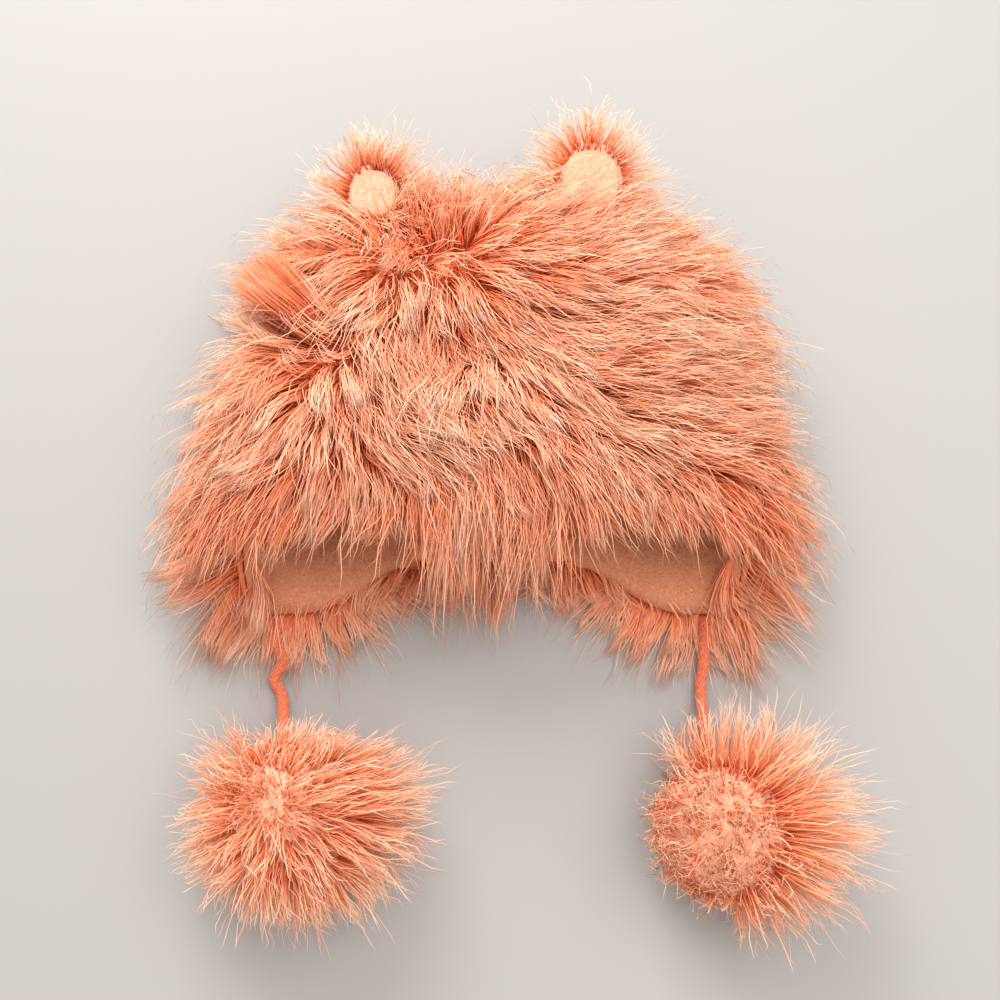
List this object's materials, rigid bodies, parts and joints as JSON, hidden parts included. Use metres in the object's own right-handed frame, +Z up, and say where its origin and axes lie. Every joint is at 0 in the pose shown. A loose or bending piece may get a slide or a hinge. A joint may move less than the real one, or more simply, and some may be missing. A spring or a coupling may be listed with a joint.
{
  "type": "cat ear trapper hat",
  "caption": "Long-pile faux fur bonnet with rounded ears, fleece-lined flaps and corded pompoms, lying on its back.",
  "frame": {"origin": "on the floor under the middle of the crown's flat underside, on the hat's middle line", "axes": "+Z up, away from the floor; +Y along the hat from the open hem to the crown's end and the ears; +X to the right seen from above the face side"},
  "size_m": [0.3037, 0.3826, 0.081],
  "materials": {
    "peach_fur": "long-pile peach faux fur, soft and shaggy, paler at the tips",
    "beige_fleece": "short napped fleece, matt",
    "coral_cord": "twisted coral yarn cord"
  },
  "bodies": {
    "root": {"crown": "peach_fur", "lining": "beige_fleece", "flap_left": "peach_fur", "flap_right": "peach_fur", "ear_left": "peach_fur", "ear_right": "peach_fur", "inner_ear_left": "beige_fleece", "inner_ear_right": "beige_fleece", "cord_left": "coral_cord", "cord_right": "coral_cord", "pompom_left": "peach_fur", "pompom_right": "peach_fur"}
  },
  "joints": []
}
